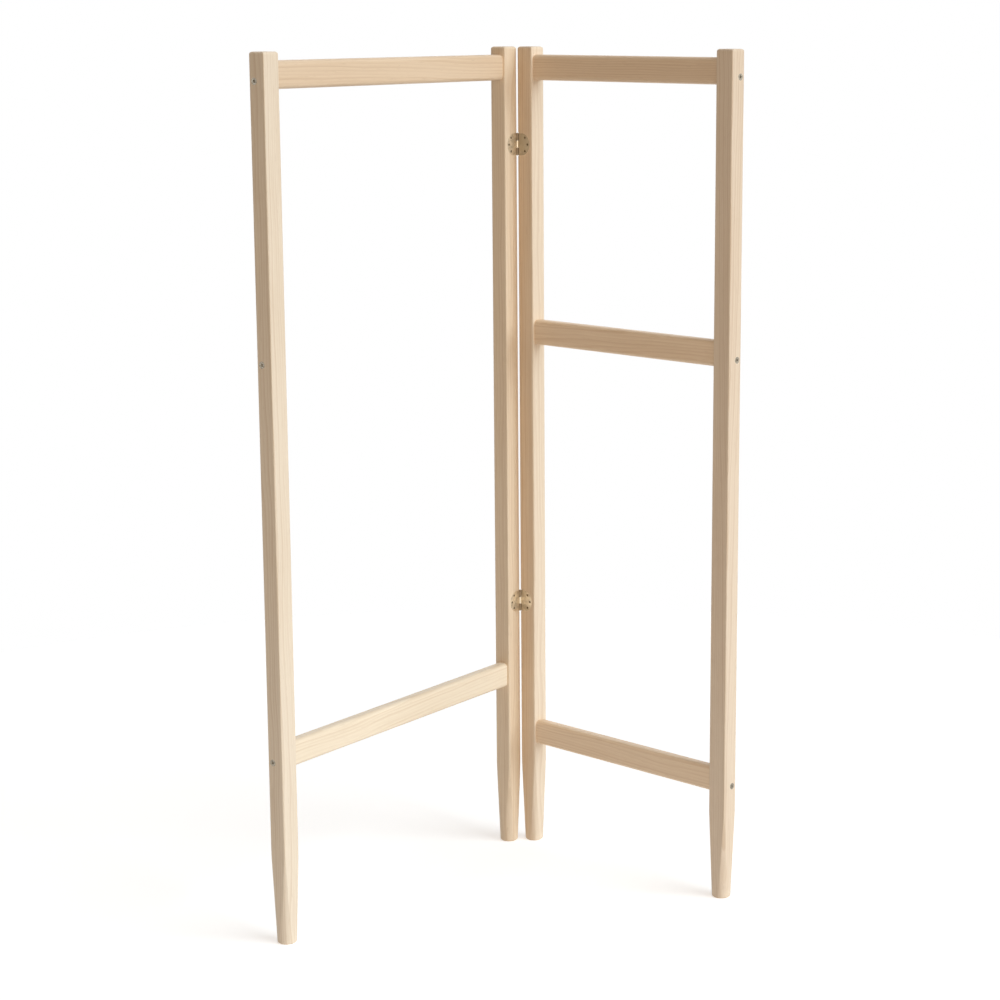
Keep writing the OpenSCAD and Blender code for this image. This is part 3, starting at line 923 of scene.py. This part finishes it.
def wood_figure():
    """Group that paints ash: growth rings about the heart of the log, pores, fibres and clouds.

    The distance from the heart, bent a little by slow noise, is counted in ring spacings. Within
    a ring the wood darkens smoothly towards the late wood and drops back at the ring's end. Each
    ring has its own strength. Long thin noise gives the fibres and, in early wood, the pores."""
    name = "Ash figure"
    if name in bpy.data.node_groups:
        return bpy.data.node_groups[name]
    graph, given, made = new_group(name, {
        "Place": VECTOR, "Pale": COLOUR, "Band": COLOUR, "Pore": COLOUR, "Ring Spacing": 3.4 * MM,
        "Contrast": 0.6, "Pore Strength": 0.5, "Heartwood_And_Shade": 0.0})
    log = given["Place"]
    slow = graph.noise(log, (16.0, 16.0, 3.4), output=1)
    centred = graph.vector("SUBTRACT", slow, (0.5, 0.5, 0.5))
    bent = graph.vector("ADD", log, graph.times(centred, (0.016, 0.016, 0.0)))
    heart = graph.from_axis(bent)
    rings = graph.math("DIVIDE", heart, given["Ring Spacing"])
    phase = graph.math("FRACT", rings)
    year = graph.add("TexWhiteNoise", {"W": graph.math("FLOOR", rings)}, noise_dimensions="1D")
    late = graph.ramp(phase, 0.12, 0.88) * graph.ramp(phase, 0.90, 1.0, 1.0, 0.0)
    band = late * graph.ramp(year, 0.0, 1.0, 0.35, 1.0) * given["Contrast"]
    fibre = graph.noise(log, (380.0, 380.0, 6.0), 3.0)
    fine = graph.noise(log, (1500.0, 1500.0, 26.0))
    cloud = graph.noise(log, (26.0, 26.0, 2.6))
    # Each noise varies about its middle value, and its factor is how strongly it shows.
    grey = (fibre - 0.5) * 0.85 + (fine - 0.5) * 0.40 + (cloud - 0.45) * 0.9
    # Browner within the heartwood's reach; on the narrow hinge post this is painted shade on its shaded
    # front face.
    heartwood_shade = graph.ramp(heart - given["Heartwood_And_Shade"], -3 * MM, 3 * MM, 0.5, 0.0)
    share = graph.add("Clamp", {0: band + heartwood_shade + grey * 0.75})
    plain = graph.mix(share, given["Pale"], given["Band"])
    speck = graph.ramp(graph.noise(log, (1300.0, 1300.0, 60.0), 1.0), 0.60, 0.72)
    early = graph.ramp(phase, 0.05, 0.55, 1.0, 0.0)
    pores = speck * early * given["Pore Strength"]
    graph.fill(made, {"Color": graph.mix(pores, plain, given["Pore"]),
                      "Roughness": graph.ramp(fine, 0.3, 0.7, 0.42, 0.52) + pores * 0.15,
                      "Height": band * 0.5 + fine - pores * 1.4})
    return graph.tree


def tarnish_figure():
    """Group that clouds metal from bright to dull, with fine marks in its sheen.

    Within reach of the pin axis, wear above 0 makes it smooth and lightens its colour, a painted
    highlight, and wear below 0 darkens its colour, painted shade."""
    name = "Tarnish"
    if name in bpy.data.node_groups:
        return bpy.data.node_groups[name]
    graph, given, made = new_group(name, {
        "Place": VECTOR, "Bright": COLOUR, "Dull": COLOUR, "Scale": 300.0, "Sheen": 0.35,
        "Tarnish": 0.0, "Reach": 0.0, "Wear": 0.0})
    place = given["Place"]
    cloud = graph.add("TexNoise", {"Vector": place, "Scale": given["Scale"], "Detail": 4.0,
                                   "Roughness": 0.6})
    marks = graph.noise(place, (2600.0, 2600.0, 500.0))
    from_pin = graph.from_axis(graph.vector("SUBTRACT", place, tuple(PIN_FOOT)))
    wear_and_shading = graph.ramp(from_pin - given["Reach"], 0.0, 0.3 * MM, 1.0, 0.0) * given["Wear"]
    # Wear above 0 takes tarnish away near the pin: the brighter colour is a painted highlight.
    share = graph.ramp(cloud + given["Tarnish"] - wear_and_shading * 0.35, 0.30, 0.70)
    # Wear below 0 darkens the knuckles' colour: painted shade in the groove between the posts.
    knuckle_shade = graph.math("MAXIMUM", wear_and_shading * -1.0, 0.0)
    rubbed = graph.math("MAXIMUM", wear_and_shading, 0.0)
    clean = graph.mix(share, given["Bright"], given["Dull"])
    # The painted shade's colour: the dull brass, darkened.
    shaded_dull = graph.times(given["Dull"], (0.45, 0.37, 0.33))
    rough = given["Sheen"] + share * 0.22 + (marks - 0.5) * 0.18
    graph.fill(made, {"Color": graph.mix(knuckle_shade, clean, shaded_dull),
                      "Roughness": rough * (rubbed * -0.6 + 1.0),
                      "Height": cloud * 0.6 + marks * 0.4})
    return graph.tree


def new_material(name):
    """A material and the graph of its tree, which is empty."""
    material = bpy.data.materials.new(name)
    material.use_nodes = True
    material.node_tree.nodes.clear()
    return material, Graph(material.node_tree)


def figured(name, figure, inputs, strength, depth, finish, log=None):
    """A material whose colour, roughness and bumps come from a figure's group.

    The group goes by the place in the object, or in the log by the name of that attribute. The
    finish holds what else the shader is told."""
    material, graph = new_material(name)
    place = graph.add("Attribute", {}, 1, attribute_name=log) if log else graph.place()
    colour, rough, height = graph.values("Group", {"Place": place, **inputs}, node_tree=figure)
    bump = graph.add("Bump", {"Strength": strength, "Distance": depth, "Height": height})
    graph.surface({"Base Color": colour, "Roughness": rough, "Normal": bump, **finish})
    return material


def with_alpha(colour, share=(1.0, 1.0, 1.0)):
    """A colour, or a share of each of its parts, as shader nodes take it."""
    return (*(a * b for a, b in zip(colour, share)), 1.0)


def board_material(node, timber):
    """Ash under a thin dull clear finish, with the rings and the tint of one board, the tint
    partly painted light and shade.
    """
    _, tint_and_shade, contrast, heartwood_and_shade = BOARDS[node]
    inputs = {"Pale": with_alpha(timber.pale, tint_and_shade), "Band": with_alpha(timber.band, tint_and_shade),
              "Pore": with_alpha(timber.pore, tint_and_shade), "Ring Spacing": timber.ring_spacing,
              "Contrast": contrast, "Pore Strength": 0.35, "Heartwood_And_Shade": heartwood_and_shade}
    return figured("Ash " + node, wood_figure(), inputs, strength=0.5, depth=0.06 * MM,
                   finish={"Specular IOR Level": 0.55}, log="log")


def dowel_material(timber):
    """Plain beech, with its rings about a line along X, since a dowel lies along its rail."""
    dark = with_alpha(timber.dowel, (0.75, 0.75, 0.75))
    inputs = {"Pale": with_alpha(timber.dowel), "Band": dark, "Pore": dark,
              "Ring Spacing": 1.2 * MM, "Contrast": 0.5, "Pore Strength": 0.2}
    return figured("Dowel wood", wood_figure(), inputs, strength=0.3, depth=0.04 * MM, finish={})


def metal_material(name, bright, dull, scale, sheen, **wear_and_shading):
    """Metal that is bright in places and dull in others, with its tarnish and its wear by name.
    On hinge knuckles the wear also paints highlight and shade.
    """
    inputs = {"Bright": with_alpha(bright), "Dull": with_alpha(dull), "Scale": scale,
              "Sheen": sheen, **wear_and_shading}
    return figured(name, tarnish_figure(), inputs, strength=0.3, depth=0.01 * MM,
                   finish={"Metallic": 1.0})


# Stage

def seen_directly(graph):
    """1 for a ray that comes from the camera, a mirroring surface or clear glass, and 0 else."""
    path = {value.socket.name: value for value in graph.values("LightPath", {})}
    mirrored = graph.math("MAXIMUM", path["Is Glossy Ray"], path["Is Transmission Ray"])
    return graph.math("MAXIMUM", path["Is Camera Ray"], mirrored)


def floor_material(stage):
    """Pale floor that lights the rack a little and keeps its shadow, whiter where it is seen."""
    material, graph = new_material("Pale floor")
    darker = with_alpha(stage.floor_colour, (0.985, 0.985, 0.985))
    cloud = graph.noise(graph.place(), (3.0, 3.0, 3.0))
    graph.surface({"Base Color": graph.mix(cloud, with_alpha(stage.floor_colour), darker),
                   "Roughness": 0.9, "Specular IOR Level": 0.0, "Emission Color": WHITE,
                   "Emission Strength": seen_directly(graph) * stage.floor_glow
                   + stage.floor_light})
    return material


def make_world(stage):
    """White where it is seen or mirrored, and otherwise a plain soft light from all round."""
    world = bpy.data.worlds.new("Studio")
    world.use_nodes = True
    world.node_tree.nodes.clear()
    graph = Graph(world.node_tree)
    light = graph.add("Background", {"Color": with_alpha(stage.sky_colour),
                                     "Strength": stage.sky_strength})
    white = graph.add("Background", {"Color": WHITE, "Strength": 1.0})
    mixed = graph.add("MixShader", {0: seen_directly(graph), 1: light, 2: white})
    graph.values("OutputWorld", {0: mixed})
    bpy.context.scene.world = world


def make_floor(stage, inner=0.1, rings=24, around=96):
    """A round floor: even rings of points about the middle, with one fan to close it there."""
    reach = np.linspace(inner, stage.floor_size, rings)[:, None]
    points, quads, fans = skin(about_axis(reach, all_round(around), 0.0))
    floor = make_object("floor", (points, quads, fans[:around]))
    if floor.data.polygons[0].normal.z < 0:
        floor.data.flip_normals()
    floor.data.materials.append(floor_material(stage))


def add_sun(name, side, rise, strength, size, colour):
    """A distant lamp on one side of -Y, above the level, with soft edges to its shadows."""
    direction = (math.sin(side) * math.cos(rise), -math.cos(side) * math.cos(rise),
                 math.sin(rise))
    lamp = bpy.data.lights.new(name, "SUN")
    lamp.energy, lamp.angle, lamp.color = strength, size, colour
    holder = bpy.data.objects.new(name, lamp)
    bpy.context.scene.collection.objects.link(holder)
    holder.rotation_euler = Vector(direction).to_track_quat("Z", "Y").to_euler()


def make_camera(stage, sensor_width=36.0):
    """Camera at the photograph's place.

    From the foot of the pin axis it turns to its heading, steps to the right by the offset, back
    by the distance and up to the eye's height, and then looks down by its pitch and leans."""
    lens = bpy.data.cameras.new("Camera")
    lens.lens, lens.sensor_width, lens.shift_x = stage.lens, sensor_width, stage.shift
    camera = bpy.data.objects.new("Camera", lens)
    bpy.context.scene.collection.objects.link(camera)
    quarter = math.radians(90)
    camera.matrix_world = (
        Matrix.Translation(PIN_FOOT)
        @ Matrix.Rotation(stage.heading - quarter, 4, "Z")
        @ Matrix.Translation((stage.offset, -stage.distance, stage.eye_height))
        @ Matrix.Rotation(quarter - stage.pitch, 4, "X")
        @ Matrix.Rotation(stage.roll, 4, "Z"))
    bpy.context.scene.camera = camera


class CLOTHESRACK_OT_stage(bpy.types.Operator):
    """Makes the floor, the lamps, the white surroundings and the camera"""

    bl_idname = "clothes_rack.stage"
    bl_label = "Stage"

    def execute(self, context):
        stage = context.scene.rack_stage
        make_world(stage)
        make_floor(stage)
        add_sun("Key", stage.key_side, stage.key_rise, stage.key_strength, stage.key_size,
                stage.key_colour)
        add_sun("Fill", -stage.fill_side, stage.fill_rise, stage.fill_strength, stage.fill_size,
                stage.sky_colour)
        add_sun("Back", stage.back_side, stage.back_rise, stage.back_strength, stage.fill_size,
                stage.key_colour)
        add_sun("Top", 0.0, math.radians(90), stage.top_strength, stage.top_size,
                stage.top_colour)
        make_camera(stage)
        context.scene.view_settings.view_transform = "Standard"
        return {"FINISHED"}


class CLOTHESRACK_PT_sidebar(bpy.types.Panel):
    """Lists the rack's settings and the operators that make it"""

    bl_idname = "CLOTHESRACK_PT_sidebar"
    bl_label = "Folding Clothes Rack"
    bl_space_type = "VIEW_3D"
    bl_region_type = "UI"
    bl_category = "Clothes Rack"

    def draw(self, context):
        column = self.layout.column(align=True)
        for operator in OPERATORS:
            column.operator(operator.bl_idname)
        for name, group in SETTINGS.items():
            box = self.layout.box()
            box.label(text=group.__doc__)
            for setting in group.__annotations__:
                box.prop(getattr(context.scene, name), setting)


OPERATORS = (
    CLOTHESRACK_OT_posts,
    CLOTHESRACK_OT_rails,
    CLOTHESRACK_OT_dowels,
    CLOTHESRACK_OT_rail_screws,
    CLOTHESRACK_OT_hinge_leaves,
    CLOTHESRACK_OT_hinge_pins,
    CLOTHESRACK_OT_leaf_screws,
    CLOTHESRACK_OT_stage,
)
CLASSES = (RackTimber, RackMetal, RackStage, *OPERATORS, CLOTHESRACK_PT_sidebar)
SETTINGS = {"rack_timber": RackTimber, "rack_metal": RackMetal, "rack_stage": RackStage}


def register():
    for one in CLASSES:
        bpy.utils.register_class(one)
    for name, group in SETTINGS.items():
        setattr(bpy.types.Scene, name, bpy.props.PointerProperty(type=group))


def unregister():
    for name in SETTINGS:
        delattr(bpy.types.Scene, name)
    for one in reversed(CLASSES):
        bpy.utils.unregister_class(one)


def main():
    """Makes everything in order."""
    register()
    for part in ("stage", "posts", "rails", "dowels", "rail_screws", "hinge_leaves",
                 "hinge_pins", "leaf_screws"):
        getattr(bpy.ops.clothes_rack, part)()


if __name__ == "__main__":
    main()
